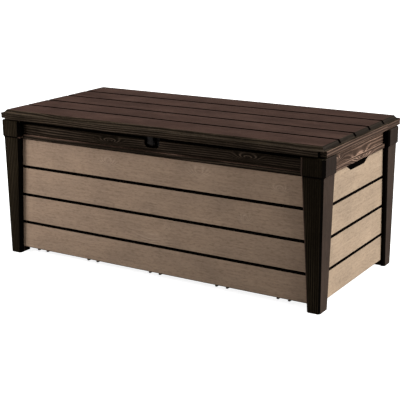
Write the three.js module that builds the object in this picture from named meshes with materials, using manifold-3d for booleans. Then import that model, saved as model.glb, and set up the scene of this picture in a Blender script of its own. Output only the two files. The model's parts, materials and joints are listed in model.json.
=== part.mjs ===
// Deck storage box: a plank-look resin chest on four tapered corner posts, with a lid on two gas struts.
// Millimetres, +X right, +Y back, +Z up. The origin is on the floor, under the middle of the box.
import * as THREE from 'three';
import { mergeVertices } from 'three/addons/utils/BufferGeometryUtils.js';
import Module from 'manifold-3d';

const wasm = await Module();
wasm.setup();

// ---------- driving dimensions ----------
const LENGTH = 1450;            // lid, left to right
const WIDTH = 697;              // lid, front to back
const HEIGHT = 603;             // floor to the top of the lid planks
const GAP = 0.3;                // clearance between pieces that touch

const PLANK_PITCH = 118.6;      // wall planks, groove to groove
const PANEL_BOTTOM = 23.5;
const PANEL_TOP = PANEL_BOTTOM + 4 * PLANK_PITCH - 10.6;
const WALL_THICK = 22;
const WALL_X = 695;             // outer face of the left and right walls
const WALL_Y = 316;             // outer face of the front and back walls
const GROOVE_WIDTH = 12;
const GROOVE_DEPTH = 7;
const SKIN = 2.4;               // moulded wall thickness of the hollow pieces

const RAIL_TOP = 580.7;         // the lid's liner rests here
const BOARD_TOP = 548.5;        // top of the rail's face board, under a shadow gap below the lid
const BOARD_SETBACK = 8;        // how far the rail is set back above its face board
const LIP_TOP = 507.5;
const LIP_OUT = 8;              // how far the rail's lower lip stands proud of the wall

const POST = {
  footX: 712, footY: 336.5,     // outer faces at the floor
  kneeX: 715.5, kneeY: 341.5,   // outer faces just under the collar
  footInX: 660.5, footInY: 268, // wing ends at the floor, and under the collar
  kneeInX: 632.5, kneeInY: 241.5,
  backFootY: 329, backKneeY: 335, // flatter at the back, where the lid's skirt swings down
  kneeZ: 491.5, collarZ: 498, topZ: 561.7,
  kneeEase: 6.5, collarEase: 11, // chamfers down the outer edges
  collarX: 722.5, collarY: 346, collarInX: 627, collarInY: 239.5,
  blockX: 662, blockY: 275,     // inner faces of the foot that carries the walls and the floor
};
const CORE_X = WALL_X - WALL_THICK - 0.2;   // inner corner of a post's core
const CORE_Y = 288.2;
const END_GAP_X = CORE_X - GAP;             // half length of the front and back walls
const END_GAP_Y = CORE_Y - GAP;             // half length of the side walls

const HINGE = { y: 338, z: 566, xs: [-480, 0, 480], knuckle: 5.5, pin: 2.5, screwZ: 542 };
const STRUT = {
  x: 650, baseY: 210, baseZ: 390, lidY: 258, lidZ: 560,
  tube: 9, rod: 4, tubeEnd: 140, rodStart: 36,
};
const LOCK_Z = 540;             // padlock hole
const LOCK_Y = -313;
const PADLOCK_HOLE = 6;         // radius

// Fasteners: screws sit this far either side of the middle of their plate.
const SCREW_HOLE = 2.5;         // radius
const SCREW_LIFT = 0.1;         // clearance under a screw's head
const PLATE_THICK = 3;          // hinge, hasp and staple plates
const PLATE_SCREW = 22;         // hinge and staple plates
const HASP_SCREW = 24;
const BASE_SCREW = 17;          // the strut's wall bracket
const LID_SCREW_Y = 326.5;      // middle of the lid's thick front and back edges

const COLOURS = {
  lid: [0x4a372d, 0.62, 0],
  frame: [0x3a2d25, 0.6, 0],
  plank: [0x9b8876, 0.7, 0],
  floor: [0x453a31, 0.75, 0],
  steel: [0xa9abad, 0.35, 1],
  black: [0x1b1b1c, 0.45, 0.3],
};

// ---------- helpers ----------
const root = new THREE.Group();

function addMesh(parent, name, geometry, colour, position = [0, 0, 0], rotation = [0, 0, 0]) {
  const [hex, roughness, metalness] = COLOURS[colour];
  const mesh = new THREE.Mesh(geometry, new THREE.MeshStandardMaterial({ color: hex, roughness, metalness }));
  mesh.name = name;
  mesh.position.set(...position);
  mesh.rotation.set(...rotation);
  parent.add(mesh);
  return mesh;
}

function solid(geometry) {
  geometry.deleteAttribute('normal');
  geometry.deleteAttribute('uv');
  const merged = mergeVertices(geometry, 1e-4);
  const vertProperties = new Float32Array(merged.attributes.position.array);
  const triVerts = new Uint32Array(merged.index.array);
  return new wasm.Manifold(new wasm.Mesh({ numProp: 3, vertProperties, triVerts }));
}

function geometryOf(body) {
  const mesh = body.getMesh();
  const geometry = new THREE.BufferGeometry();
  geometry.setAttribute('position', new THREE.BufferAttribute(mesh.vertProperties, 3));
  geometry.setIndex(new THREE.BufferAttribute(mesh.triVerts, 1));
  geometry.computeVertexNormals();
  return geometry;
}

const join = (bodies) => bodies.reduce((sum, body) => sum.add(body));
const cut = (body, tools) => tools.reduce((left, tool) => left.subtract(tool), body);

// A box from its lowest and highest corners.
function block(x0, x1, y0, y1, z0, z1) {
  const geometry = new THREE.BoxGeometry(x1 - x0, y1 - y0, z1 - z0);
  geometry.translate((x0 + x1) / 2, (y0 + y1) / 2, (z0 + z1) / 2);
  return solid(geometry);
}

// Outlines are lists of [a, b]: prismX takes [y, z] and prismY takes [x, z].
function extrude(outline, depth, basis, start) {
  const shape = new THREE.Shape(outline.map(([a, b]) => new THREE.Vector2(a, b)));
  const geometry = new THREE.ExtrudeGeometry(shape, { depth, bevelEnabled: false, curveSegments: 6 });
  geometry.applyMatrix4(new THREE.Matrix4().makeBasis(...basis));
  geometry.translate(...start);
  return solid(geometry);
}
const X = new THREE.Vector3(1, 0, 0);
const Y = new THREE.Vector3(0, 1, 0);
const Z = new THREE.Vector3(0, 0, 1);
const prismX = (outline, x0, x1) => extrude(outline, x1 - x0, [Y, Z, X], [x0, 0, 0]);
const prismY = (outline, y0, y1) => extrude(outline, y1 - y0, [X, Z, Y.clone().negate()], [0, y1, 0]);

// A round bar along an axis, from one end to the other.
function bar(axis, centre, radius, from, to, sides = 20) {
  const geometry = new THREE.CylinderGeometry(radius, radius, to - from, sides);
  const middle = (from + to) / 2;
  if (axis === 'x') {
    geometry.rotateZ(Math.PI / 2);
    geometry.translate(middle, centre[0], centre[1]);
  } else if (axis === 'y') {
    geometry.translate(centre[0], middle, centre[1]);
  } else {
    geometry.rotateX(Math.PI / 2);
    geometry.translate(centre[0], centre[1], middle);
  }
  return solid(geometry);
}

// A straight-sided taper between two outlines of the same number of corners, in plan.
function taper(bottom, top, z0, z1) {
  const turn = (outline) => THREE.ShapeUtils.area(outline.map(([a, b]) => new THREE.Vector2(a, b)));
  const forward = turn(bottom) > 0;
  const low = forward ? bottom : [...bottom].reverse();
  const high = forward ? top : [...top].reverse();
  const n = low.length;
  const points = [...low.map(([x, y]) => [x, y, z0]), ...high.map(([x, y]) => [x, y, z1])];
  const faces = THREE.ShapeUtils.triangulateShape(low.map(([x, y]) => new THREE.Vector2(x, y)), []);
  const index = [];
  for (const [a, b, c] of faces) {
    index.push(a, c, b, a + n, b + n, c + n);
  }
  for (let i = 0; i < n; i += 1) {
    const j = (i + 1) % n;
    index.push(i, j, j + n, i, j + n, i + n);
  }
  const geometry = new THREE.BufferGeometry();
  geometry.setAttribute('position', new THREE.Float32BufferAttribute(points.flat(), 3));
  geometry.setIndex(index);
  return solid(geometry);
}

// ---------- walls ----------
// A double-walled panel moulded as four planks. Outer face on y = 0, facing -Y, running along X.
const GROOVE_ZS = [1, 2, 3].map((row) => PANEL_TOP - 116 - (3 - row) * PLANK_PITCH);

// The hollows run right through it along X, round the middle part that a handle leaves solid.
function hollows(halfLength, solidHalf, z0, z1, setback = 0) {
  const outer = setback + SKIN;
  const inner = WALL_THICK - SKIN;
  if (solidHalf === 0) {
    return [block(-halfLength - 1, halfLength + 1, outer, inner, z0, z1)];
  }
  return [
    block(-halfLength - 1, -solidHalf, outer, inner, z0, z1),
    block(solidHalf, halfLength + 1, outer, inner, z0, z1),
  ];
}

function plankPanel(halfLength, solidHalf) {
  const outline = [[WALL_THICK, PANEL_BOTTOM], [3, PANEL_BOTTOM], [0, PANEL_BOTTOM + 3]];
  for (const z of GROOVE_ZS) {
    outline.push([0, z - GROOVE_WIDTH / 2], [2, z - GROOVE_WIDTH / 2 + 1.5]);
    outline.push([GROOVE_DEPTH, z - 3.5], [GROOVE_DEPTH, z + 3.5]);
    outline.push([2, z + GROOVE_WIDTH / 2 - 1.5], [0, z + GROOVE_WIDTH / 2]);
  }
  outline.push([0, PANEL_TOP], [WALL_THICK, PANEL_TOP]);
  const web = GROOVE_WIDTH / 2 + SKIN;
  const lows = [PANEL_BOTTOM + 4, ...GROOVE_ZS.map((z) => z + web)];
  const highs = [...GROOVE_ZS.map((z) => z - web), PANEL_TOP - 4];
  const rooms = lows.flatMap((low, row) => hollows(halfLength, row === 3 ? solidHalf : 0, low, highs[row]));
  for (const z of GROOVE_ZS) {
    rooms.push(...hollows(halfLength, 0, z - web - 1, z + web + 1, GROOVE_DEPTH));
  }
  return cut(prismX(outline, -halfLength, halfLength), rooms);
}

// The rail that caps a wall: a board with a proud rounded lip along its lower edge, and a set-back top.
// The board runs behind the post collars, and the lip stops short of them.
function rail(halfLength, lipHalf, solidHalf) {
  const bottom = PANEL_TOP + GAP;
  const board = prismX([
    [WALL_THICK, bottom], [0, bottom], [0, LIP_TOP - 1], [1.6, LIP_TOP + 0.5], [1.6, LIP_TOP + 3],
    [0, LIP_TOP + 4.5], [0, BOARD_TOP - 2], [2, BOARD_TOP], [BOARD_SETBACK, BOARD_TOP],
    [BOARD_SETBACK, RAIL_TOP], [WALL_THICK, RAIL_TOP],
  ], -halfLength, halfLength);
  const lip = prismX([
    [1, bottom], [-LIP_OUT + 3, bottom], [-LIP_OUT, bottom + 3], [-LIP_OUT, LIP_TOP - 4],
    [-LIP_OUT + 3, LIP_TOP - 1], [1, LIP_TOP - 1],
  ], -lipHalf, lipHalf);
  return cut(board.add(lip), [
    ...hollows(halfLength, solidHalf, bottom + 4, BOARD_TOP - 4),
    ...hollows(halfLength, solidHalf, BOARD_TOP - 5, RAIL_TOP - 4, BOARD_SETBACK),
  ]);
}

const GRIP_TOP = 515;           // how far up the fingers reach behind the side rail's lip
const HANDLE = { topHalf: 108, bottomHalf: 62, bottomZ: 464.5, depth: 16, lip: 3.5 };
const LOCK_RECESS = { half: 33.5, bottom: 517, depth: 14 };

function buildWalls() {
  const frontHalf = END_GAP_X;
  const sideHalf = END_GAP_Y;
  const lipFront = POST.collarInX - 0.5;
  const lipSide = POST.collarInY - 0.5;

  addMesh(root, 'front_panel', geometryOf(plankPanel(frontHalf, 0)), 'plank', [0, -WALL_Y, 0]);
  addMesh(root, 'back_panel', geometryOf(plankPanel(frontHalf, 0)), 'plank', [0, WALL_Y, 0], [0, 0, Math.PI]);

  // The lifting handles: fingers go in through a notch in the top plank and up behind the rail's lip.
  const strutScrewHoles = [-1, 1].map((side) => bar('y', [0, STRUT.baseZ + BASE_SCREW * side], SCREW_HOLE,
    WALL_THICK - 14, WALL_THICK + 1, 12));
  const notch = prismY([
    [-HANDLE.bottomHalf, HANDLE.bottomZ], [HANDLE.bottomHalf, HANDLE.bottomZ],
    [HANDLE.topHalf, PANEL_TOP + 1], [-HANDLE.topHalf, PANEL_TOP + 1],
  ], -1, HANDLE.depth);
  const gripHalf = HANDLE.topHalf - 6;
  const grip = block(-gripHalf, gripHalf, HANDLE.lip, HANDLE.depth, PANEL_TOP - 1, GRIP_TOP);
  for (const [name, side] of [['left', -1], ['right', 1]]) {
    // The walls are turned about Z, so a strut at the back is on the right of one and the left of the other.
    const holes = strutScrewHoles.map((hole) => hole.translate([side * STRUT.baseY, 0, 0]));
    const panel = cut(plankPanel(sideHalf, HANDLE.topHalf + SKIN), [notch, ...holes]);
    const sideRail = rail(sideHalf, lipSide, HANDLE.topHalf).subtract(grip);
    const turn = [0, 0, side * Math.PI / 2];
    addMesh(root, `${name}_panel`, geometryOf(panel), 'plank', [side * WALL_X, 0, 0], turn);
    addMesh(root, `${name}_rail`, geometryOf(sideRail), 'frame', [side * WALL_X, 0, 0], turn);
  }

  // The front rail has an open-topped recess for the padlock eye.
  const { half, bottom, depth } = LOCK_RECESS;
  const corner = 12;
  const recess = prismY([
    [-half, RAIL_TOP + 1], [-half, bottom + corner], [-half + corner, bottom],
    [half - corner, bottom], [half, bottom + corner], [half, RAIL_TOP + 1],
  ], -1, depth);
  const lockHoles = [-1, 1].map((side) => bar('y', [side * PLATE_SCREW, LOCK_Z], SCREW_HOLE,
    depth - 1, depth + 6.5, 12));
  const frontRail = cut(rail(frontHalf, lipFront, half + 8), [recess, ...lockHoles]);
  addMesh(root, 'front_rail', geometryOf(frontRail), 'frame', [0, -WALL_Y, 0]);

  const hingeHoles = HINGE.xs.flatMap((x) => [-PLATE_SCREW, PLATE_SCREW].map((dx) => bar('y',
    [x + dx, HINGE.screwZ], SCREW_HOLE, -1, 14.5, 12)));
  const backRail = cut(rail(frontHalf, lipFront, 0), hingeHoles);
  addMesh(root, 'back_rail', geometryOf(backRail), 'frame', [0, WALL_Y, 0], [0, 0, Math.PI]);
}

// ---------- corner posts ----------
// An L of two tapered wings that lap over the wall ends, round a square core, with a collar at the top,
// a block foot under the walls and floor, and a thin flange inside the box. u runs outward along X and
// v outward along Y.
function buildPost(name, sx, sy) {
  const front = sy < 0;
  const footY = front ? POST.footY : POST.backFootY;
  const kneeY = front ? POST.kneeY : POST.backKneeY;
  const collarY = front ? POST.collarY : POST.backKneeY;
  const innerU = WALL_X + GAP;
  const innerV = WALL_Y + GAP;
  const plan = (outline) => outline.map(([u, v]) => [sx * u, sy * v]);
  const wings = (u, v, uIn, vIn, chamfer) => plan([
    [u - chamfer, v], [uIn + chamfer, v], [uIn, v - chamfer], [uIn, innerV], [innerU, innerV],
    [innerU, vIn], [u - chamfer, vIn], [u, vIn + chamfer], [u, v - chamfer],
  ]);
  const foot = wings(POST.footX, footY, POST.footInX, POST.footInY, POST.kneeEase);
  const knee = wings(POST.kneeX, kneeY, POST.kneeInX, POST.kneeInY, POST.kneeEase);
  const ease = front ? POST.collarEase : POST.kneeEase;
  const collar = wings(POST.collarX, collarY, POST.collarInX, POST.collarInY, ease);
  const brow = wings(POST.collarX - 2, collarY - 2, POST.collarInX + 2, POST.collarInY + 2, ease);
  const pieces = [
    taper(foot, knee, 0, POST.kneeZ),
    taper(knee, collar, POST.kneeZ, POST.collarZ),
    taper(collar, collar, POST.collarZ, POST.topZ - 3),
    taper(collar, brow, POST.topZ - 3, POST.topZ),
  ];
  const slab = (u0, u1, v0, v1, z0, z1) => block(Math.min(sx * u0, sx * u1), Math.max(sx * u0, sx * u1),
    Math.min(sy * v0, sy * v1), Math.max(sy * v0, sy * v1), z0, z1);
  const floorTop = 38;
  const flange = 5.2;
  const insideX = WALL_X - WALL_THICK - GAP;
  const insideY = WALL_Y - WALL_THICK - GAP;
  pieces.push(slab(CORE_X, innerU + 1, CORE_Y, innerV + 1, 10, POST.topZ));
  pieces.push(slab(645, CORE_X + 2, insideY - flange, insideY, floorTop, POST.topZ));
  pieces.push(slab(insideX - flange, insideX, 262, insideY, floorTop, POST.topZ));
  pieces.push(slab(POST.blockX, innerU + 1, POST.blockY, innerV + 1, 0, PANEL_BOTTOM - GAP));
  // The corner is a hollow shaft, open at the foot, that stays inside the eased outer edge.
  const inset = SKIN + POST.kneeEase / 2;
  const shaft = slab(CORE_X + SKIN, POST.footX - inset, CORE_Y + SKIN, footY - inset, -1, POST.topZ - SKIN);
  addMesh(root, name, geometryOf(join(pieces).subtract(shaft)), 'frame');
}

// ---------- floor ----------
function buildFloor() {
  const halfX = WALL_X - WALL_THICK - 2 * GAP;
  const halfY = WALL_Y - WALL_THICK - 2 * GAP;
  const under = PANEL_BOTTOM + 0.5;
  const plateBottom = 30;
  const plateTop = 34;
  const pieces = [block(-halfX, halfX, -halfY, halfY, plateBottom, plateTop)];
  const ribThick = 4;
  const rib = (x0, x1, y0, y1) => block(x0, x1, y0, y1, under, plateBottom + 1);
  for (const y of [-halfY, -halfY / 3, halfY / 3 - ribThick, halfY - ribThick]) {
    pieces.push(rib(-halfX, halfX, y, y + ribThick));
  }
  const bays = 6;
  for (let i = 0; i <= bays; i += 1) {
    const x = -halfX + (i * (2 * halfX - ribThick)) / bays;
    pieces.push(rib(x, x + ribThick, -halfY, halfY));
  }
  // Pairs of snap tongues that lock the floor under the front and back walls.
  for (const x of [-558, -300, 0, 300, 558]) {
    for (const offset of [-23, 23]) {
      for (const side of [-1, 1]) {
        const y0 = side < 0 ? -WALL_Y + 1 : halfY - 8;
        const y1 = side < 0 ? -halfY + 8 : WALL_Y - 1;
        pieces.push(block(x + offset - 4, x + offset + 4, y0, y1, 18.5, PANEL_BOTTOM - GAP));
        const rootY = side * (halfY - 4);
        pieces.push(block(x + offset - 4, x + offset + 4, rootY - 4, rootY + 4, 18.5, plateBottom + 1));
      }
    }
  }
  addMesh(root, 'floor_panel', geometryOf(join(pieces)), 'floor');
}

// ---------- lid ----------
// The lid's group sits on the hinge axis, so its pieces are moved back by that much.
const lid = new THREE.Group();
lid.position.set(0, HINGE.y, HINGE.z);
root.add(lid);
const fromHinge = (body) => geometryOf(body.translate([0, -HINGE.y, -HINGE.z]));

const SKIRT_BOTTOM = 567.5;
const LEDGE_Z = 590;
const LEDGE_UNDER = 587;
const SKIRT_THICK = 3;
const TOP_HALF_X = 703;
const TOP_HALF_Y = 326.5;
const SLOPE_HALF_X = 713;
const SLOPE_HALF_Y = 336.5;
const LID_PITCH = 132;          // lid planks, groove to groove
const DECK_DEPTH = 6.2;         // lid top to the underside of a groove
const LINER_Z = 581;
const LINER_THICK = 2.4;

function buildLidShell() {
  const halfX = LENGTH / 2;
  const halfY = WIDTH / 2;
  const notchX = 25;
  const notchY = 12;
  const soften = 4;
  const rim = (x, y) => [
    [x, y - notchY], [x - notchX, y - notchY], [x - notchX, y - soften], [x - notchX - soften, y],
  ];
  const quarter = rim(halfX, halfY);
  const mirror = (list, sx, sy) => list.map(([x, y]) => [sx * x, sy * y]);
  const outline = [
    ...mirror(quarter, 1, 1), ...mirror(quarter, -1, 1).reverse(),
    ...mirror(quarter, -1, -1), ...mirror(quarter, 1, -1).reverse(),
  ];
  const cornerCut = 9;
  const ledgeQuarter = [[halfX, halfY - cornerCut], [halfX - cornerCut, halfY]];
  const ledgeOutline = [
    ...mirror(ledgeQuarter, 1, 1), ...mirror(ledgeQuarter, -1, 1).reverse(),
    ...mirror(ledgeQuarter, -1, -1), ...mirror(ledgeQuarter, 1, -1).reverse(),
  ];
  const ledge = taper(ledgeOutline, ledgeOutline, LEDGE_Z - 2, LEDGE_Z);
  const frame = taper(outline, outline, SKIRT_BOTTOM, LEDGE_Z - 1).add(ledge);
  const rect = (x, y) => [[x, y], [-x, y], [-x, -y], [x, -y]];
  const deck = taper(rect(SLOPE_HALF_X, SLOPE_HALF_Y), rect(TOP_HALF_X, TOP_HALF_Y), LEDGE_Z - 1, HEIGHT);

  // Four grooves part the lid into five planks and run down the sloped ends.
  const grooveDepth = 3.5;
  const grooveHalf = 6;
  const reach = LEDGE_Z + 1;
  const grooveOutline = [
    [-SLOPE_HALF_X - 3, HEIGHT + 5], [-SLOPE_HALF_X - 3, reach], [-SLOPE_HALF_X + 4.5, reach],
    [-TOP_HALF_X + 2, HEIGHT - grooveDepth], [TOP_HALF_X - 2, HEIGHT - grooveDepth],
    [SLOPE_HALF_X - 4.5, reach], [SLOPE_HALF_X + 3, reach], [SLOPE_HALF_X + 3, HEIGHT + 5],
  ];
  const grooves = [-1.5, -0.5, 0.5, 1.5].map((row) => prismY(grooveOutline, row * LID_PITCH - grooveHalf,
    row * LID_PITCH + grooveHalf));

  const inX = halfX - SKIRT_THICK;
  const inY = halfY - SKIRT_THICK;
  const cavity = [
    block(-inX + notchX, inX - notchX, -inY, inY, SKIRT_BOTTOM - 1, LEDGE_UNDER),
    block(-inX, inX, -inY + notchY, inY - notchY, SKIRT_BOTTOM - 1, LEDGE_UNDER),
  ];
  const backings = [-1.5, -0.5, 0.5, 1.5].map((row) => block(-700, 700, row * LID_PITCH - grooveHalf - SKIN,
    row * LID_PITCH + grooveHalf + SKIN, HEIGHT - DECK_DEPTH, HEIGHT));
  const attic = cut(block(-699, 699, -322, 322, LEDGE_UNDER - 1, HEIGHT - SKIN), backings);
  const shell = cut(frame.add(deck), [...grooves, ...cavity, attic]);
  const holes = lidScrewPlaces().map(([x, y, z]) => bar('z', [x, y], SCREW_HOLE, z - 3, z + 12, 12));
  addMesh(lid, 'lid_shell', fromHinge(cut(shell, holes)), 'lid');
}

// Screws that go up into the lid's thick edge: two per hinge leaf and two in the hasp.
const HINGE_PLATE_Z = LEDGE_UNDER - GAP;
function lidScrewPlaces() {
  const places = HINGE.xs.flatMap((x) => [-1, 1].map((side) => [x + side * PLATE_SCREW, LID_SCREW_Y,
    HINGE_PLATE_Z]));
  places.push([-HASP_SCREW, -LID_SCREW_Y, HINGE_PLATE_Z], [HASP_SCREW, -LID_SCREW_Y, HINGE_PLATE_Z]);
  return places;
}

function buildLidInside() {
  // The liner closes the lid from below. Its border turns up inside the shell, and ribs stiffen it.
  const halfX = 698.5;
  const halfY = 321.5;
  const border = 3;
  const top = HEIGHT - DECK_DEPTH - GAP;
  const tray = block(-halfX, halfX, -halfY, halfY, LINER_Z, top).subtract(
    block(border - halfX, halfX - border, border - halfY, halfY - border, LINER_Z + LINER_THICK, top + 1));
  // The ribs are what is left of a thick slab between its rows of pockets.
  const ribThick = 5;
  const ribBottom = LINER_Z - 10;
  const pocketX = 150;
  const pocketY = 129;
  const columns = [-4, -3, -2, -1, 0, 1, 2, 3];
  const rows = [-2, -1, 0, 1];
  const ribHalfX = 4 * (pocketX + ribThick) + ribThick / 2;
  const ribHalfY = 2 * (pocketY + ribThick) + ribThick / 2;
  const slab = block(-ribHalfX, ribHalfX, -ribHalfY, ribHalfY, ribBottom, LINER_Z + 1);
  const pockets = columns.flatMap((i) => rows.map((j) => {
    const x = i * (pocketX + ribThick) + ribThick / 2;
    const y = j * (pocketY + ribThick) + ribThick / 2;
    return block(x, x + pocketX, y, y + pocketY, ribBottom - 1, LINER_Z);
  }));
  const strutHoles = [-1, 1].map((side) => bar('z', [side * STRUT_SCREW_X, STRUT.lidY + 8], SCREW_HOLE,
    LINER_Z - 1, LINER_Z + 4, 12));
  addMesh(lid, 'lid_liner', fromHinge(cut(tray.add(slab), [...pockets, ...strutHoles])), 'lid');

  // Two steel box sections keep the long lid from sagging.
  for (const [name, y] of [['lid_brace_front', -165], ['lid_brace_back', 165]]) {
    const low = LINER_Z + LINER_THICK + GAP;
    const tube = block(-680, 680, -15, 15, low, top).subtract(block(-681, 681, -13, 13, low + 2, top - 2));
    addMesh(lid, name, fromHinge(tube.translate([0, y, 0])), 'steel');
  }
}

// ---------- hinges ----------
// Back view: the body bracket holds two outer knuckles, the lid leaf one middle knuckle, on one pin.
function buildHinges() {
  const { y, z, knuckle, pin } = HINGE;
  const face = WALL_Y + GAP;
  const plateOut = face + PLATE_THICK;
  HINGE.xs.forEach((x, i) => {
    const place = ['left', 'middle', 'right'][i];
    const bore = bar('x', [y, z], pin + 0.3, x - 40, x + 40, 16);
    const arm = (x0, x1) => prismX([
      [face, z - 14], [plateOut, z - 14], [y - 4, z - 4], [y + 1, z - 3], [y + 1, z + 3], [y - 4, z + 5],
      [plateOut + 4, z + 5], [face, z + 5],
    ], x0, x1);
    const plate = block(x - 30, x + 30, face, plateOut, z - 34, z + 5);
    const holes = [-PLATE_SCREW, PLATE_SCREW].map((dx) => bar('y', [x + dx, HINGE.screwZ], SCREW_HOLE,
      face - 1, plateOut + 1, 12));
    const outer = [[x - 26, x - 12], [x + 12, x + 26]].map(([x0, x1]) => join([
      arm(x0, x1), bar('x', [y, z], knuckle, x0, x1, 20),
    ]));
    const bracket = cut(join([plate, ...outer]), [bore, ...holes]);
    addMesh(root, `hinge_bracket_${place}`, geometryOf(bracket), 'frame');

    const leafPlate = block(x - 30, x + 30, 322, 342.5, HINGE_PLATE_Z - PLATE_THICK, HINGE_PLATE_Z);
    const leafArm = prismX([[y - 5.2, z], [y + 5.2, z], [y + 4.4, HINGE_PLATE_Z - 2],
      [y - 8, HINGE_PLATE_Z - 2]], x - 11.7, x + 11.7);
    const leafHoles = [-PLATE_SCREW, PLATE_SCREW].map((dx) => bar('z', [x + dx, LID_SCREW_Y], SCREW_HOLE,
      HINGE_PLATE_Z - 4, HINGE_PLATE_Z + 1, 12));
    const leaf = cut(join([leafPlate, leafArm, bar('x', [y, z], knuckle, x - 11.7, x + 11.7, 20)]),
      [bore, ...leafHoles]);
    addMesh(lid, `hinge_leaf_${place}`, fromHinge(leaf), 'frame');

    const pinBody = join([bar('x', [0, 0], pin, -27, 27, 16), bar('x', [0, 0], 4.4, -28.5, -26.5, 16)]);
    addMesh(root, `hinge_pin_${place}`, geometryOf(pinBody), 'steel', [x, y, z]);
  });
}

// ---------- lock ----------
function buildLock() {
  const back = -WALL_Y + LOCK_RECESS.depth - GAP;
  const tongueHalf = 10;
  const hole = (r) => bar('x', [LOCK_Y, LOCK_Z], r, -40, 40, 16);
  const ear = (x0, x1) => prismX([
    [back, LOCK_Z - 15], [back - 8, LOCK_Z - 15], [back - 18, LOCK_Z - 7], [back - 20, LOCK_Z],
    [back - 18, LOCK_Z + 7], [back - 8, LOCK_Z + 13], [back, LOCK_Z + 13],
  ], x0, x1);
  const plate = block(-28, 28, back - PLATE_THICK, back, LOCK_Z - 15, LOCK_Z + 17);
  const screwHoles = [-PLATE_SCREW, PLATE_SCREW].map((x) => bar('y', [x, LOCK_Z], SCREW_HOLE,
    back - 4, back + 1, 12));
  const staple = cut(join([plate, ear(-15.5, -11.5), ear(11.5, 15.5)]), [hole(PADLOCK_HOLE), ...screwHoles]);
  addMesh(root, 'lock_staple', geometryOf(staple), 'frame');

  // The hasp hangs from the lid's front edge into the recess, between the staple's two ears.
  const tongue = prismX([
    [-332, HINGE_PLATE_Z - 1], [-332, LOCK_Z + 32], [-323, LOCK_Z + 26], [-323, LOCK_Z - 5],
    [-319, LOCK_Z - 11], [-313, LOCK_Z - 13], [-309, LOCK_Z - 11], [-307, LOCK_Z - 5],
    [-307, LINER_Z - 1], [-322.2, LINER_Z - 1], [-322.2, HINGE_PLATE_Z - 1],
  ], -tongueHalf, tongueHalf);
  const flange = block(-32, 32, -340, -322.2, HINGE_PLATE_Z - PLATE_THICK, HINGE_PLATE_Z);
  const haspHoles = [-HASP_SCREW, HASP_SCREW].map((x) => bar('z', [x, -LID_SCREW_Y], SCREW_HOLE,
    HINGE_PLATE_Z - 4, HINGE_PLATE_Z + 1, 12));
  const hasp = cut(tongue.add(flange), [hole(PADLOCK_HOLE), ...haspHoles]);
  addMesh(lid, 'lid_hasp', fromHinge(hasp), 'frame');
}

// ---------- gas struts ----------
const STRUT_SCREW_X = 644;
const STRUT_ANGLE = Math.atan2(STRUT.lidZ - STRUT.baseZ, STRUT.lidY - STRUT.baseY);
const STRUT_REST = Math.hypot(STRUT.lidZ - STRUT.baseZ, STRUT.lidY - STRUT.baseY);

function buildStruts() {
  const eyeHalf = 4;
  for (const [name, side] of [['left', -1], ['right', 1]]) {
    const x = side * STRUT.x;
    const wall = side * (WALL_X - WALL_THICK - GAP);
    const span = (a, b) => [Math.min(side * a, side * b), Math.max(side * a, side * b)];

    // Wall bracket: a plate with a stud that carries the strut's lower eye.
    const [p0, p1] = span(Math.abs(wall) - 4, Math.abs(wall));
    const [s0, s1] = span(645, Math.abs(wall) - 3);
    const [h0, h1] = span(642, 645.6);
    const holes = [-BASE_SCREW, BASE_SCREW].map((dz) => bar('x', [STRUT.baseY, STRUT.baseZ + dz],
      SCREW_HOLE, p0 - 1, p1 + 1, 12));
    const bracket = cut(join([
      block(p0, p1, STRUT.baseY - 15, STRUT.baseY + 15, STRUT.baseZ - 26, STRUT.baseZ + 26),
      bar('x', [STRUT.baseY, STRUT.baseZ], 4, s0, s1, 16),
      bar('x', [STRUT.baseY, STRUT.baseZ], 6, h0, h1, 16),
    ]), holes);
    addMesh(root, `strut_base_${name}`, geometryOf(bracket), 'steel');

    // The strut's own group is on its lower pivot, turned so that +Z runs along the strut.
    const strut = new THREE.Group();
    strut.position.set(x, STRUT.baseY, STRUT.baseZ);
    strut.rotation.set(STRUT_ANGLE - Math.PI / 2, 0, 0);
    root.add(strut);
    const tubeStart = 14;
    const tube = cut(join([
      bar('x', [0, 0], 8.5, -eyeHalf, eyeHalf, 20),
      block(-eyeHalf, eyeHalf, -6, 6, 0, tubeStart + 4),
      bar('z', [0, 0], STRUT.tube, tubeStart, STRUT.tubeEnd, 20),
    ]), [
      bar('x', [0, 0], 4.3, -10, 10, 16),
      bar('z', [0, 0], STRUT.rod + 0.4, 30, STRUT.tubeEnd + 1, 20),
    ]);
    addMesh(strut, `strut_cylinder_${name}`, geometryOf(tube), 'black');
    const [pin0, pin1] = side < 0 ? [-14, -3] : [3, 14];
    const rod = join([
      bar('z', [0, 0], STRUT.rod, STRUT.rodStart, STRUT_REST - 6, 20),
      bar('x', [0, STRUT_REST], 8, -eyeHalf, eyeHalf, 20),
      bar('x', [0, STRUT_REST], 3, pin0, pin1, 16),
    ]);
    addMesh(strut, `strut_rod_${name}`, geometryOf(rod), 'steel');

    // Lid bracket: a cheek with a slot that the rod's pin slides in.
    const [c0, c1] = span(657, 660);
    const [f0, f1] = span(638, 660);
    const flangeTop = LINER_Z - GAP;
    const cheek = block(c0, c1, 247, 283.5, 549, flangeTop);
    const flange = block(f0, f1, 250, 282, flangeTop - 3, flangeTop);
    const slot = block(c0 - 1, c1 + 1, STRUT.lidY - 4.2, STRUT.lidY + 19.5,
      STRUT.lidZ - 6.2, STRUT.lidZ + 7.6);
    const screwHole = bar('z', [side * STRUT_SCREW_X, STRUT.lidY + 8], SCREW_HOLE,
      flangeTop - 4, flangeTop + 1, 12);
    const lidBracket = cut(cheek.add(flange), [slot, screwHole]);
    addMesh(lid, `strut_bracket_${name}`, fromHinge(lidBracket), 'steel');
  }
}

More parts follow.
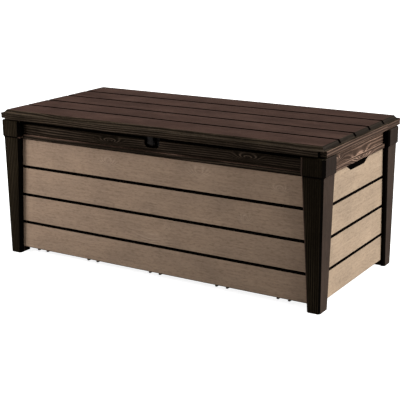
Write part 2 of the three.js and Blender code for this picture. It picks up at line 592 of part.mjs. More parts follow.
// ---------- screws ----------
// A pan-head screw: the underside of its head is at the origin and its shank runs along -Y.
function screwGeometry(shank) {
  const profile = [
    [0, -shank], [1.4, -shank + 1], [2.1, -shank + 3], [2.1, 0], [4.4, 0], [4.4, 1.2], [3.2, 2.4], [0, 2.6],
  ];
  const geometry = new THREE.LatheGeometry(profile.map(([r, y]) => new THREE.Vector2(r, y)), 12);
  return geometryOf(solid(geometry));
}

function buildScrews() {
  const wallScrew = screwGeometry(15);
  const lidScrew = screwGeometry(12);
  const shortScrew = screwGeometry(8.5);
  const underLid = HINGE_PLATE_Z - PLATE_THICK - SCREW_LIFT - HINGE.z;
  HINGE.xs.forEach((x, i) => {
    const place = ['left', 'middle', 'right'][i];
    [-PLATE_SCREW, PLATE_SCREW].forEach((dx, n) => {
      const end = n + 1;
      addMesh(root, `hinge_bracket_screw_${place}_${end}`, wallScrew, 'steel',
        [x + dx, WALL_Y + GAP + PLATE_THICK + SCREW_LIFT, HINGE.screwZ]);
      addMesh(lid, `hinge_leaf_screw_${place}_${end}`, lidScrew, 'steel',
        [x + dx, LID_SCREW_Y - HINGE.y, underLid], [-Math.PI / 2, 0, 0]);
    });
  });
  for (const [name, side] of [['left', -1], ['right', 1]]) {
    const inner = side * (WALL_X - WALL_THICK - GAP - 4 - SCREW_LIFT);
    [-BASE_SCREW, BASE_SCREW].forEach((dz, n) => {
      addMesh(root, `strut_base_screw_${name}_${n + 1}`, wallScrew, 'steel',
        [inner, STRUT.baseY, STRUT.baseZ + dz], [0, 0, side * Math.PI / 2]);
    });
    const bracketFace = LINER_Z - GAP - PLATE_THICK - SCREW_LIFT;
    addMesh(lid, `strut_bracket_screw_${name}`, shortScrew, 'steel',
      [side * STRUT_SCREW_X, STRUT.lidY + 8 - HINGE.y, bracketFace - HINGE.z], [-Math.PI / 2, 0, 0]);
    addMesh(lid, `lid_hasp_screw_${name}`, lidScrew, 'steel',
      [side * HASP_SCREW, -LID_SCREW_Y - HINGE.y, underLid], [-Math.PI / 2, 0, 0]);
    const stapleFace = -WALL_Y + LOCK_RECESS.depth - GAP - PLATE_THICK - SCREW_LIFT;
    addMesh(root, `lock_staple_screw_${name}`, shortScrew, 'steel',
      [side * PLATE_SCREW, stapleFace, LOCK_Z], [0, 0, Math.PI]);
  }
}

buildFloor();
buildWalls();
buildPost('post_front_left', -1, -1);
buildPost('post_front_right', 1, -1);
buildPost('post_back_left', -1, 1);
buildPost('post_back_right', 1, 1);
buildLidShell();
buildLidInside();
buildHinges();
buildLock();
buildStruts();
buildScrews();

export default root;
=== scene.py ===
"""Looks of the deck storage box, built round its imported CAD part. Metres, in the part's own frame."""
import json
import math

import bmesh
import bpy
from mathutils import Matrix, Vector


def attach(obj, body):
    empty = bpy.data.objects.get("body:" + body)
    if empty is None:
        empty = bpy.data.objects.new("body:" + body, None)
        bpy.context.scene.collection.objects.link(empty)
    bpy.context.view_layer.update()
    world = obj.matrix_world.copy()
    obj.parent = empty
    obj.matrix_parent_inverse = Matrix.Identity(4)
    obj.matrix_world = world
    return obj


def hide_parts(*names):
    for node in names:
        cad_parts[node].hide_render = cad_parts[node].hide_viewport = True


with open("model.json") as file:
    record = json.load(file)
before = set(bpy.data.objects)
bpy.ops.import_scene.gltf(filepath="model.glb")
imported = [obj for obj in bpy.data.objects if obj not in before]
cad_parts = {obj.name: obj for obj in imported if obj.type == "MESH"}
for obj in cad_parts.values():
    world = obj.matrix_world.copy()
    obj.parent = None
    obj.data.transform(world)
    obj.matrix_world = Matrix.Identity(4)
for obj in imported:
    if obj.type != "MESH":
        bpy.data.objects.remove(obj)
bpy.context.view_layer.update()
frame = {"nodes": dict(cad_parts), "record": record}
record = frame["record"]
slot_of = {s["node"]: s["material_slot"] for s in record["subparts"]}
body_of = {n: b for b, nodes in record["behaviour"]["bodies"].items() for n in nodes}
MM = 0.001


# ---------- where the grain lies ----------
PLANK_PITCH = 118.6 * MM
LOWEST_PLANK = 15.6 * MM
PLANK_STEP = 3.37                     # each plank reads the pattern this much further along
ACROSS_STEP = 0.73                    # and this share of it further across
FACE_STEP = 1.7                       # faces that look along Y, against those that look along X
FAR_STEP = 0.61                       # faces that look to +X or +Y


FRONT_PLANKS = 5                      # planks are numbered on from here on the front half
BACK_PLANKS = 11                      # and from here on the back half
RIGHT_PLANKS = 3                      # added on the right wall
RIGHT_WALL_X = 0.6


def wall_plank(co):
    """The number of the wall plank that a point lies on. Each number has its own part of the grain."""
    row = math.floor((co.z - LOWEST_PLANK) / PLANK_PITCH)
    half = FRONT_PLANKS if co.y < 0 else BACK_PLANKS
    return row + half + (RIGHT_PLANKS if co.x > RIGHT_WALL_X else 0)


def front_knot(x, z, long, high, on_planks=False):
    """A knot at a place on the box's front, as wood_resin takes it."""
    shift = wall_plank(Vector((x, -1, z))) * PLANK_STEP if on_planks else 0.0
    return x + FACE_STEP + shift, z + shift * ACROSS_STEP, long, high


# ---------- node helpers ----------
class Graph:
    """A material whose nodes are added one call at a time."""

    def __init__(self, name):
        self.material = bpy.data.materials.new(name)
        self.material.use_nodes = True
        self.tree = self.material.node_tree
        self.shader = self.tree.nodes["Principled BSDF"]

    def add(self, kind, inputs=None, **settings):
        node = self.tree.nodes.new(kind)
        for key, value in settings.items():
            setattr(node, key, value)
        for key, value in (inputs or {}).items():
            if isinstance(value, bpy.types.NodeSocket):
                self.tree.links.new(value, node.inputs[key])
            else:
                node.inputs[key].default_value = value
        return node

    def math(self, operation, a, b=0.0, c=0.0):
        return self.add("ShaderNodeMath", {0: a, 1: b, 2: c}, operation=operation).outputs[0]

    def stretch(self, vector, scale, offset=(0, 0, 0)):
        longer = self.add("ShaderNodeVectorMath", {0: vector, 1: scale}, operation="MULTIPLY").outputs[0]
        return self.add("ShaderNodeVectorMath", {0: longer, 1: offset}, operation="ADD").outputs[0]

    def noise(self, vector, scale, detail=2.0, roughness=0.5, distortion=0.0):
        inputs = {"Vector": vector, "Scale": scale, "Detail": detail, "Roughness": roughness}
        inputs["Distortion"] = distortion
        return self.add("ShaderNodeTexNoise", inputs).outputs["Fac"]

    def ramp(self, value, stops):
        node = self.add("ShaderNodeValToRGB", {0: value})
        elements = node.color_ramp.elements
        while len(elements) < len(stops):
            elements.new(0.5)
        for element, (position, colour) in zip(elements, stops):
            element.position = position
            element.color = (*colour, 1)
        return node.outputs[0]

    def mix(self, fac, a, b, blend="MIX"):
        node = self.add("ShaderNodeMix", data_type="RGBA", blend_type=blend)
        for key, value in ((0, fac), (6, a), (7, b)):
            if isinstance(value, bpy.types.NodeSocket):
                self.tree.links.new(value, node.inputs[key])
            elif key == 0:
                node.inputs[key].default_value = value
            else:
                node.inputs[key].default_value = (*value, 1)
        return node.outputs[2]

    def span(self, value, low, high, to_low, to_high):
        inputs = {0: value, 1: low, 2: high, 3: to_low, 4: to_high}
        return self.add("ShaderNodeMapRange", inputs).outputs[0]

    def bump(self, height, distance, strength=1.0, normal=None):
        inputs = {"Height": height, "Distance": distance, "Strength": strength}
        if normal is not None:
            inputs["Normal"] = normal
        return self.add("ShaderNodeBump", inputs).outputs[0]

    def link(self, key, socket):
        self.tree.links.new(socket, self.shader.inputs[key])


def wood_resin(name, tones, pitch, relief, knot_cells, knot_share, knot_pull, open_rings, wander,
               rings_share, specular, roughness=0.6, mottle=0.12, knots=()):
    """Moulded resin with an embossed wood grain. UVs hold metres: U along the grain, V across it.

    Scattered knots come from cells; knots lists extra ones, as (u, v, half length, half height).
    """
    deep, body, ridge = tones
    g = Graph(name)
    uv = g.add("ShaderNodeTexCoord").outputs["UV"]
    v = g.add("ShaderNodeSeparateXYZ", {0: uv}).outputs[1]
    # Growth rings: contours of a slow swell, drawn into closed rings round a few scattered knots.
    warp = g.noise(g.stretch(uv, (9.0, 26.0, 1.0), (2.2, 7.1, 0)), 1.0, 2.0, 0.5)
    cells = g.add("ShaderNodeTexVoronoi", {"Vector": g.stretch(uv, (*knot_cells, 1.0), (0.4, 0.2, 0.5)),
                                           "Scale": 1.0, "Randomness": 0.85}, feature="F1")
    chosen = g.add("ShaderNodeSeparateColor", {0: cells.outputs["Color"]}).outputs[0]
    chosen = g.span(chosen, knot_share, knot_share - 0.01, 0.0, 1.0)
    near = g.span(g.math("MULTIPLY_ADD", warp, 0.12, cells.outputs["Distance"]), 0.05, 0.55, 1.0, 0.0)
    knot = g.math("MULTIPLY", g.math("POWER", near, 2.0), chosen)
    heart = g.math("MULTIPLY", g.span(cells.outputs["Distance"], 0.02, 0.09, 1.0, 0.0), chosen)
    for u0, v0, long, high in knots:
        offset = g.stretch(uv, (1 / long, 1 / high, 0.0), (-u0 / long, -v0 / high, 0.0))
        distance = g.add("ShaderNodeVectorMath", {0: offset}, operation="LENGTH").outputs["Value"]
        around = g.span(g.math("MULTIPLY_ADD", warp, 0.3, distance), 0.15, 1.15, 1.0, 0.0)
        knot = g.math("MAXIMUM", knot, g.math("POWER", around, 1.6))
        heart = g.math("MAXIMUM", heart, g.span(distance, 0.05, 0.16, 1.0, 0.0))
    swell = g.noise(g.stretch(uv, (1.1, 7.0, 1.0)), 1.0, 1.5, 0.4, 0.2)
    phase = g.math("MULTIPLY_ADD", swell, wander, g.math("MULTIPLY_ADD", v, 2 * math.pi / pitch,
                                                         g.math("MULTIPLY", knot, knot_pull)))
    phase = g.math("MULTIPLY_ADD", warp, 3.2, phase)
    rings = g.math("POWER", g.math("MULTIPLY_ADD", g.math("SINE", phase), 0.5, 0.5), 1.8)
    clarity = g.noise(g.stretch(uv, (2.2, 16.0, 1.0), (5.5, 2.5, 0)), 1.0, 2.0, 0.5)
    clarity = g.math("MULTIPLY", g.span(clarity, 0.35, 0.65, 0.35, 1.0), open_rings)
    clarity = g.math("MAXIMUM", clarity, g.span(knot, 0.02, 0.35, 0.0, 1.0))
    rings = g.math("MULTIPLY", rings, clarity)
    fibre = g.noise(g.stretch(uv, (45.0, 480.0, 1.0)), 1.0, 3.0, 0.65)
    streak = g.noise(g.stretch(uv, (5.0, 95.0, 1.0), (3.1, 0.7, 0)), 1.0, 3.0, 0.6)
    blotch = g.noise(g.stretch(uv, (7.0, 9.0, 1.0), (9.2, 4.1, 0)), 1.0, 4.0, 0.6)
    tone = g.math("MULTIPLY_ADD", rings, rings_share, g.math("MULTIPLY", streak, 0.95 - rings_share))
    tone = g.math("MULTIPLY_ADD", fibre, 0.4, tone)
    tone = g.span(tone, 0.2, 1.0, 0.0, 1.0)
    colour = g.ramp(tone, [(0.0, deep), (0.42, body), (1.0, ridge)])
    low, high = 1 - mottle, 1 + mottle
    shade = g.ramp(blotch, [(0.3, (low, low, low * 1.01)), (0.7, (high, high * 0.99, high * 0.98))])
    colour = g.mix(1.0, colour, shade, "MULTIPLY")
    colour = g.mix(g.math("MULTIPLY", heart, 0.6), colour, deep)
    # Pores and short dark flecks, then wear: rubbed and dusty specks that lighten the high spots.
    pores = g.noise(g.stretch(uv, (48.0, 150.0, 1.0), (2.7, 8.4, 0)), 1.0, 3.0, 0.75)
    pitted, clear = (0.80, 0.79, 0.77), (1.08, 1.08, 1.08)
    pore_tones = g.ramp(pores, [(0.34, pitted), (0.50, (1.0, 1.0, 1.0)), (0.68, clear)])
    colour = g.mix(1.0, colour, pore_tones, "MULTIPLY")
    specks = g.noise(g.stretch(uv, (90.0, 130.0, 1.0), (1.3, 6.6, 0)), 1.0, 3.0, 0.7)
    colour = g.mix(g.span(specks, 0.58, 0.8, 0.0, 0.45), colour, ridge)
    g.link("Base Color", colour)
    g.link("Roughness", g.span(g.math("ADD", streak, fibre), 0.6, 1.4, roughness - 0.07, roughness + 0.09))
    coarse = g.bump(rings, relief, 1.0)
    fine = g.math("ADD", streak, g.math("MULTIPLY", fibre, 0.5))
    g.link("Normal", g.bump(fine, relief * 0.6, 0.8, coarse))
    g.shader.inputs["Specular IOR Level"].default_value = specular
    return g.material


def plain_resin(name, low, high, roughness, specular):
    """Unembossed moulded resin: a fine pebbled skin with soft flow marks."""
    g = Graph(name)
    place = g.add("ShaderNodeTexCoord").outputs["Object"]
    flow = g.noise(place, 9.0, 3.0, 0.5, 0.4)
    pebble = g.noise(place, 900.0, 2.0, 0.5)
    scuff = g.noise(g.stretch(place, (60.0, 60.0, 12.0)), 1.0, 4.0, 0.7)
    colour = g.ramp(flow, [(0.3, low), (0.7, high)])
    colour = g.mix(g.span(scuff, 0.62, 0.8, 0.0, 0.25), colour, tuple(min(1, c * 1.7) for c in high))
    g.link("Base Color", colour)
    g.link("Roughness", g.span(scuff, 0.3, 0.8, roughness - 0.06, roughness + 0.1))
    g.link("Normal", g.bump(pebble, 0.00015, 0.6))
    g.shader.inputs["Specular IOR Level"].default_value = specular
    return g.material


def metal(name, low, high, roughness, metallic):
    """Drawn or plated steel with fine brushing, dulled in patches."""
    g = Graph(name)
    place = g.add("ShaderNodeTexCoord").outputs["Object"]
    brush = g.noise(g.stretch(place, (3000.0, 300.0, 300.0)), 1.0, 2.0, 0.6)
    patch = g.noise(place, 60.0, 3.0, 0.6)
    g.link("Base Color", g.ramp(patch, [(0.3, low), (0.7, high)]))
    g.link("Roughness", g.span(patch, 0.3, 0.75, roughness - 0.05, roughness + 0.15))
    g.link("Normal", g.bump(brush, 0.00004, 0.5))
    g.shader.inputs["Metallic"].default_value = metallic
    return g.material


def scaled(tones, factor):
    return tuple(tuple(channel * factor for channel in tone) for tone in tones)


PLANK_TONES = ((0.235, 0.168, 0.118), (0.318, 0.236, 0.168), (0.395, 0.302, 0.222))
# A darker copy of the frame resin, for faces that look along Y: painted shade.
FRONT_SHADED_TONES = ((0.003, 0.002, 0.001), (0.0195, 0.0142, 0.0092), (0.078, 0.058, 0.042))
# A lighter copy of the frame resin, for faces that look along X and for painted highlights: painted light.
SIDE_LIT_TONES = ((0.014, 0.008, 0.005), (0.068, 0.041, 0.029), (0.235, 0.15, 0.11))
LID_TONES = ((0.0135, 0.0068, 0.005), (0.044, 0.0242, 0.0188), (0.106, 0.063, 0.051))
# A darker copy for the lid's end slopes: painted shade.
EDGE_SHADED_TONES = ((0.006, 0.0042, 0.0028), (0.0165, 0.0115, 0.008), (0.05, 0.037, 0.027))
# A darker copy of the post resin, for the posts' fronts, backs and tops: painted shade.
POST_SHADED_TONES = ((0.0034, 0.0022, 0.001), (0.0114, 0.0084, 0.0046), (0.039, 0.030, 0.018))
# A lighter copy of the post resin, for the posts' sides: painted light.
POST_SIDE_LIT_TONES = ((0.016, 0.010, 0.007), (0.036, 0.0235, 0.0175), (0.075, 0.053, 0.041))

# Large knots moulded in the rails, in the rails' own UVs.
FRONT_KNOTS = (front_knot(-0.195, 0.524, 0.085, 0.021), front_knot(0.410, 0.528, 0.085, 0.022))
PLANK_KNOTS = (
    front_knot(0.207, 0.450, 0.075, 0.045, True),
    front_knot(-0.206, 0.440, 0.065, 0.038, True),
    front_knot(0.539, 0.430, 0.055, 0.030, True),
    front_knot(0.401, 0.300, 0.040, 0.034, True),
    front_knot(0.061, 0.212, 0.030, 0.024, True),
)
SIDE_KNOTS = ((0.626, 0.500, 0.15, 0.040), (0.40, 0.530, 0.09, 0.02))
NO_KNOTS = dict(knot_cells=(1.0, 1.0), knot_share=0.0, knot_pull=0.0)
PLANK_SETTINGS = dict(pitch=0.011, relief=0.0005, knot_cells=(3.0, 8.0), knot_share=0.3, knot_pull=30.0,
                      open_rings=0.07, wander=8.0, rings_share=0.42, roughness=0.7, specular=0.05)
FRONT_SETTINGS = dict(pitch=0.0092, relief=0.0018, knot_cells=(2.6, 9.0), knot_share=0.2, knot_pull=30.0,
                      open_rings=0.85, wander=26.0, rings_share=0.72, specular=0.04, mottle=0.3)
SIDE_SETTINGS = dict(pitch=0.0105, relief=0.002, knot_cells=(3.2, 8.0), knot_share=0.4, knot_pull=26.0,
                     open_rings=0.9, wander=30.0, rings_share=0.72, specular=0.08, mottle=0.2)
POST_SETTINGS = dict(pitch=0.0085, relief=0.0012, open_rings=0.9, wander=1.2, rings_share=0.7,
                     specular=0.03, mottle=0.15, **NO_KNOTS)
POST_SIDE_SETTINGS = dict(pitch=0.011, relief=0.0008, open_rings=0.35, wander=3.0, rings_share=0.45,
                          specular=0.08, mottle=0.2, **NO_KNOTS)
LID_SETTINGS = dict(pitch=0.0125, relief=0.0009, knot_cells=(1.6, 7.0), knot_share=0.3, knot_pull=18.0,
                    open_rings=0.6, wander=14.0, rings_share=0.4, roughness=0.65, specular=0.05, mottle=0.2)
EDGE_SETTINGS = dict(pitch=0.011, relief=0.001, knot_cells=(1.6, 7.0), knot_share=0.3, knot_pull=10.0,
                     open_rings=0.6, wander=12.0, rings_share=0.55, roughness=0.65, specular=0.05,
                     mottle=0.25)
MATERIALS = {
    "plank": wood_resin("plank_resin", PLANK_TONES, knots=PLANK_KNOTS, **PLANK_SETTINGS),
    # Front and back rails are in painted shade, left and right rails in painted light, each scaled once
    # more.
    "rail_front": wood_resin("rail_front_resin", scaled(FRONT_SHADED_TONES, 1.1), knots=FRONT_KNOTS,
                             **FRONT_SETTINGS),
    "rail_side": wood_resin("rail_side_resin", scaled(SIDE_LIT_TONES, 1.45), knots=SIDE_KNOTS, **SIDE_SETTINGS),
    # Front and back skirts and slopes of the lid in painted shade; its end skirts in painted light, which
    # also paints highlights on rail lip tops and under post collars.
    "skirt_front": wood_resin("skirt_front_resin", scaled(FRONT_SHADED_TONES, 1.35), **FRONT_SETTINGS),
    "skirt_side": wood_resin("skirt_side_resin", scaled(SIDE_LIT_TONES, 0.88), **SIDE_SETTINGS),
    # Post fronts in painted shade, post sides in painted light, collar sides darkened again as painted
    # shade.
    "post": wood_resin("post_resin", POST_SHADED_TONES, **POST_SETTINGS),
    "post_side": wood_resin("post_side_resin", POST_SIDE_LIT_TONES, **POST_SIDE_SETTINGS),
    "collar_side": wood_resin("collar_side_resin", scaled(POST_SIDE_LIT_TONES, 0.56),
                              **POST_SIDE_SETTINGS),
    "lid": wood_resin("lid_resin", LID_TONES, **LID_SETTINGS),
    # The lid's end slopes, darkened as painted shade.
    "edge": wood_resin("edge_resin", scaled(EDGE_SHADED_TONES, 0.9), **EDGE_SETTINGS),
    # Near-black painted shade for grooves, recesses, set-backs, notches, wing ends and some chamfers.
    "shadow": plain_resin("groove_resin", (0.0012, 0.0009, 0.0007), (0.0026, 0.002, 0.0016), 0.85, 0.01),
    "latch": plain_resin("latch_resin", (0.0015, 0.0012, 0.001), (0.004, 0.0034, 0.003), 0.4, 0.25),
    "inside": plain_resin("inside_resin", (0.05, 0.038, 0.03), (0.075, 0.058, 0.046), 0.6, 0.3),
    "steel": metal("zinc_steel", (0.42, 0.42, 0.43), (0.62, 0.62, 0.63), 0.32, 1.0),
    "black": metal("black_steel", (0.016, 0.016, 0.017), (0.03, 0.03, 0.032), 0.35, 0.4),
}


# ---------- mesh helpers ----------
SHARP_ANGLE = math.radians(30)        # edges sharper than this are softened, or else kept sharp
MERGE_DISTANCE = 0.00005
FLAT_ANGLE = math.radians(0.6)        # triangles this near to one plane are joined into a face
END_GRAIN = 0.8                       # a face that looks this much along the grain shows end grain
END_GRAIN_SCALE = 0.2


def finish_mesh(name, bm, materials, body, slot, nodes, soften):
    """Turns a bmesh into a shown piece that stands for CAD nodes and moves with a body."""
    mesh = bpy.data.meshes.new(name)
    bm.to_mesh(mesh)
    bm.free()
    piece = bpy.data.objects.new(name, mesh)
    bpy.context.scene.collection.objects.link(piece)
    for material in materials:
        mesh.materials.append(MATERIALS[material])
    if soften:
        bevel = piece.modifiers.new("soft edges", "BEVEL")
        bevel.width = soften
        bevel.segments = 2
        bevel.limit_method = "ANGLE"
        bevel.angle_limit = SHARP_ANGLE
        bevel.harden_normals = True
        bevel.miter_outer = "MITER_ARC"
    else:
        # The importer's own normals don't fit the joined faces, and shade a piece wrongly without a bevel.
        imported = mesh.attributes.get("custom_normal")
        if imported:
            mesh.attributes.remove(imported)
    for polygon in mesh.polygons:
        polygon.use_smooth = True
    mesh.set_sharp_from_angle(angle=SHARP_ANGLE)
    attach(piece, body)
    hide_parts(*nodes)
    return piece


def grain_uv(bm, axis, plank=None):
    """UVs in metres: U along the grain axis, V across it. Each plank reads its own part of the pattern."""
    layer = bm.loops.layers.uv.verify()
    others = [i for i in range(3) if i != axis]
    for face in bm.faces:
        n = face.normal
        shift = plank(face.calc_center_median()) * PLANK_STEP if plank else 0.0
        across = min(others, key=lambda i: abs(n[i]))
        away = max(others, key=lambda i: abs(n[i]))
        end_grain = abs(n[axis]) > END_GRAIN
        side = FAR_STEP * (1 if n[away] > 0 else 0) + FACE_STEP * away
        for loop in face.loops:
            co = loop.vert.co
            if end_grain:
                loop[layer].uv = (co[others[0]] * END_GRAIN_SCALE + shift, co[others[1]] + side)
            else:
                loop[layer].uv = (co[axis] + shift + side, co[across] + shift * ACROSS_STEP)


def from_cad(node):
    """A clean bmesh of a CAD node: its triangles joined back into flat faces."""
    bm = bmesh.new()
    bm.from_mesh(frame["nodes"][node].data)
    bmesh.ops.remove_doubles(bm, verts=bm.verts, dist=MERGE_DISTANCE)
    bmesh.ops.dissolve_limit(bm, angle_limit=FLAT_ANGLE, verts=bm.verts, edges=bm.edges)
    bmesh.ops.recalc_face_normals(bm, faces=bm.faces)
    bm.normal_update()
    return bm


def dress(node, materials, axis, soften, paint=None, plank=None, slices=()):
    """The look of one CAD node: clean faces, edges softened by a width, grain, and materials as paint says.

    Slices are places on Y where faces are split, so that paint can stop there.
    """
    bm = from_cad(node)
    for y in slices:
        everything = bm.verts[:] + bm.edges[:] + bm.faces[:]
        bmesh.ops.bisect_plane(bm, geom=everything, dist=1e-6, plane_co=(0, y, 0), plane_no=(0, 1, 0))
    bm.normal_update()
    grain_uv(bm, axis, plank)
    if paint:
        for face in bm.faces:
            face.material_index = paint(face.calc_center_median(), face.normal)
    return finish_mesh(f"look_{node}", bm, materials, body_of[node], slot_of[node], [node], soften)


WALL_FACE = {0: 0.695, 1: 0.316}      # outer faces of the walls, by axis
BOARD_TOP = 0.5485                    # the rail is set back above this
LID_GROOVES = (0.066, 0.198)
GROOVE_SHADE = 0.0080                 # half width of the painted shade along a lid groove
COLLAR_BOTTOM = 0.498
COLLAR_UNDERSIDE = 0.47               # a collar's sloping underside is above this
LID_EDGE_X = 0.715                    # the skirt's corner notches are inside this
LID_SKIRT_TOP = 0.59                  # the skirts end here, and the slopes and planks start just above it
LID_SLOPE_BOTTOM = 0.5905
LID_DECK = 0.602                      # the flat top is above this
LID_PLANK_BOTTOM = 0.589
LID_HALF_WIDTH = 0.33
LID_PLANK_PITCH = 0.132
NOT_A_PLANK = 9
FACE_DEPTH = 0.0008                   # nearer to the outer face than this is the face itself
GROOVE_REACH = 0.0165                 # deeper in than this is the wall's inside
LIP = 0.002                           # how far a lip stands out, or a recess lies in
GRIP_HALF_WIDTH = 0.2
WING_Y = 0.3165                       # the posts' wings lie over the walls, outside these
WING_X = 0.6955


def lid_plank(co):
    """The number of the lid plank that a point lies on."""
    if co.z <= LID_PLANK_BOTTOM:
        return NOT_A_PLANK
    return math.floor((co.y + LID_HALF_WIDTH) / LID_PLANK_PITCH)


def wall_paint(axis):
    """Planks 0; painted shade 1 in the grooves between planks and in the hand grips, just behind the outer
    face.
    """
    def paint(co, normal):
        depth = WALL_FACE[axis] - abs(co[axis])
        return 1 if FACE_DEPTH < depth < GROOVE_REACH else 0
    return paint


def rail_paint(axis):
    """Board 0; painted shade 1 in the set-back top, the recesses and under the lip; painted highlight 2 on
    top of the lip.
    """
    def paint(co, normal):
        depth = WALL_FACE[axis] - abs(co[axis])
        if depth < -LIP and abs(normal.z) > 0.4:
            return 2 if normal.z > 0 else 1
        recess = abs(normal[axis]) < 0.5 and abs(normal.z) < 0.5 and abs(co[1 - axis]) < GRIP_HALF_WIDTH
        set_back = co.z > BOARD_TOP + LIP or depth > LIP
        return 1 if (set_back or recess) and depth < GROOVE_REACH else 0
    return paint


def post_paint(co, normal):
    """Fronts 0 in painted shade, sides 1 in painted light, painted shade 2 on wing ends and some chamfers,
    painted highlights 3 on edges under collars, collar sides 4 in painted shade.
    """
    u = normal.x * math.copysign(1, co.x)
    v = normal.y * math.copysign(1, co.y)
    if co.z > COLLAR_UNDERSIDE and -0.8 < normal.z < -0.15:
        return 3 if abs(u) > 0.6 else 2
    if abs(normal.z) > 0.6:
        return 0
    if abs(u) > 0.4 and abs(v) > 0.4:
        return 2 if normal.x * normal.y < 0 else 1
    if (u < -0.7 and abs(co.y) > WING_Y) or (v < -0.7 and abs(co.x) > WING_X):
        return 2
    if abs(u) > 0.7:
        return 4 if co.z > COLLAR_BOTTOM else 1
    return 0


def lid_paint(co, normal):
    """Planks 0, front and back skirts and slopes 1 in painted shade, end slopes 2 in painted shade, painted
    shade 3 along the grooves and in the notches, end skirts 4 in painted light.
    """
    if co.z > LID_SLOPE_BOTTOM and any(abs(abs(co.y) - groove) < GROOVE_SHADE for groove in LID_GROOVES):
        return 3
    if co.z < LID_SKIRT_TOP and abs(normal.x) > 0.4 and abs(co.x) < LID_EDGE_X:
        return 3
    if co.z > LID_SLOPE_BOTTOM and abs(normal.x) > 0.4:
        return 2
    if co.z > LID_DECK:
        return 0
    return 4 if abs(normal.x) > 0.7 else 1


for side in ("front", "back", "left", "right"):
    along = 0 if side in ("front", "back") else 1
    # Front and back rails take the board in painted shade, left and right rails the board in painted light.
    board = "rail_front" if along == 0 else "rail_side"
    dress(f"{side}_panel", ["plank", "shadow"], along, 1.0 * MM, wall_paint(1 - along), wall_plank)
    dress(f"{side}_rail", [board, "shadow", "skirt_side"], along, 1.2 * MM, rail_paint(1 - along))
for corner in ("front_left", "front_right", "back_left", "back_right"):
    dress(f"post_{corner}", ["post", "post_side", "shadow", "skirt_side", "collar_side"], 2, 1.0 * MM,
          post_paint)
# Slices beside each lid groove, so that a strip of painted shade runs along it.
groove_edges = [side * groove + half for groove in LID_GROOVES for side in (-1, 1)
                for half in (-GROOVE_SHADE, GROOVE_SHADE)]
dress("lid_shell", ["lid", "skirt_front", "edge", "shadow", "skirt_side"], 0, 0.6 * MM, lid_paint, lid_plank,
      groove_edges)
# Plates whose faces hold many holes keep their edges as they are, because a bevel folds such faces.
KEEP_EDGES = 0.0
for node in ("lid_liner", "floor_panel"):
    dress(node, ["inside"], 0, KEEP_EDGES)
for node in sorted(frame["nodes"]):
    screw = "screw" in node
    holed = node.startswith(("hinge_leaf", "strut_bracket")) and not screw
    if node.startswith(("lock_staple", "lid_hasp")):
        dress(node, ["black" if screw else "latch"], 0, 0.4 * MM)
    elif node.startswith(("hinge_bracket", "hinge_leaf")) and not screw:
        dress(node, ["inside"], 0, KEEP_EDGES if holed else 0.5 * MM)
    elif screw or "pin" in node or node.startswith(("strut_base", "strut_rod", "strut_bracket")):
        dress(node, ["steel"], 0, KEEP_EDGES if holed else 0.25 * MM)
    elif node.startswith("lid_brace"):
        dress(node, ["steel"], 0, 0.6 * MM)
    elif node.startswith("strut_cylinder"):
        dress(node, ["black"], 0, 0.4 * MM)


# ---------- stage, light and camera ----------
def pale_floor():
    """White to the eye, and dimmer as a source of bounced light."""
    g = Graph("studio_floor")
    seen = g.add("ShaderNodeLightPath").outputs["Is Camera Ray"]
    g.link("Base Color", g.ramp(seen, [(0.0, (0.29, 0.262, 0.256)), (1.0, (0.5, 0.5, 0.5))]))
    g.shader.inputs["Emission Color"].default_value = (1, 1, 1, 1)
    g.link("Emission Strength", g.math("MULTIPLY", seen, 0.9))
    g.shader.inputs["Roughness"].default_value = 0.9
    g.shader.inputs["Specular IOR Level"].default_value = 0.0
    mesh = bpy.data.meshes.new("studio_floor")
    reach = 40.0
    corners = [(-reach, -reach, 0), (reach, -reach, 0), (reach, reach, 0), (-reach, reach, 0)]
    mesh.from_pydata(corners, [], [(0, 1, 2, 3)])
    floor = bpy.data.objects.new("studio_floor", mesh)
    bpy.context.scene.collection.objects.link(floor)
    mesh.materials.append(g.material)


def area_light(name, place, target, size, power, colour=(1, 1, 1)):
    data = bpy.data.lights.new(name, "AREA")
    data.color = colour
    data.shape = "RECTANGLE"
    data.size, data.size_y = size
    data.energy = power
    lamp = bpy.data.objects.new(name, data)
    lamp.location = place
    lamp.rotation_euler = (Vector(target) - Vector(place)).to_track_quat("-Z", "Y").to_euler()
    lamp.visible_camera = False
    lamp.visible_glossy = False
    bpy.context.scene.collection.objects.link(lamp)


def sun_light(name, toward, strength, spread, colour):
    data = bpy.data.lights.new(name, "SUN")
    data.energy = strength
    data.color = colour
    data.angle = math.radians(spread)
    lamp = bpy.data.objects.new(name, data)
    lamp.rotation_euler = Vector(toward).to_track_quat("Z", "Y").to_euler()
    bpy.context.scene.collection.objects.link(lamp)


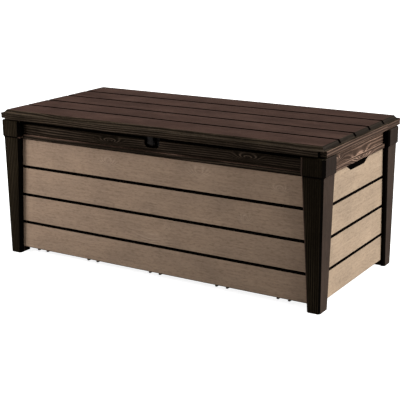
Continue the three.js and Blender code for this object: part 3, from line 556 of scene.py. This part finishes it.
pale_floor()
sun_light("key", toward=(0.80, 0.16, 0.60), strength=6.15, spread=60, colour=(0.975, 1.0, 0.99))
area_light("fill_left", place=(-1.85, -1.55, 1.15), target=(-0.35, -0.3, 0.3), size=(0.9, 0.7), power=41,
           colour=(1.0, 0.965, 0.98))
area_light("fill_back", place=(-2.2, 3.2, 3.0), target=(0, 0, 0.3), size=(2.0, 2.0), power=90)

# The room is white to the eye, and dimmer as a source of light.
world = bpy.data.worlds.new("studio")
bpy.context.scene.world = world
world.use_nodes = True
tree = world.node_tree
background = tree.nodes["Background"]
background.inputs[0].default_value = (1, 1, 1, 1)
seen = tree.nodes.new("ShaderNodeLightPath").outputs["Is Camera Ray"]
strength = tree.nodes.new("ShaderNodeMapRange")
tree.links.new(seen, strength.inputs[0])
strength.inputs[3].default_value = 0.08
strength.inputs[4].default_value = 1.05
tree.links.new(strength.outputs[0], background.inputs[1])

# The camera was solved from the photo's straight edges.
AZIMUTH = math.radians(31.71)
ELEVATION = math.radians(15.37)
ROLL = math.radians(-0.40)
TARGET = Vector((0.0128, 0.00324, 0.24173))
DISTANCE = 4.19027
camera_data = bpy.data.cameras.new("camera")
camera_data.sensor_width = 36
camera_data.lens = 92.84
camera_data.clip_end = 200
camera = bpy.data.objects.new("camera", camera_data)
bpy.context.scene.collection.objects.link(camera)
bpy.context.scene.camera = camera
forward = -Vector((
    math.sin(AZIMUTH) * math.cos(ELEVATION),
    -math.cos(AZIMUTH) * math.cos(ELEVATION),
    math.sin(ELEVATION),
))
place = TARGET - forward * DISTANCE
level = forward.cross(Vector((0, 0, 1))).normalized()
upright = level.cross(forward)
right = level * math.cos(ROLL) + upright * math.sin(ROLL)
up = upright * math.cos(ROLL) - level * math.sin(ROLL)
camera.matrix_world = Matrix((
    (right.x, up.x, -forward.x, place.x),
    (right.y, up.y, -forward.y, place.y),
    (right.z, up.z, -forward.z, place.z),
    (0, 0, 0, 1),
))

bpy.context.scene.view_settings.view_transform = "Standard"
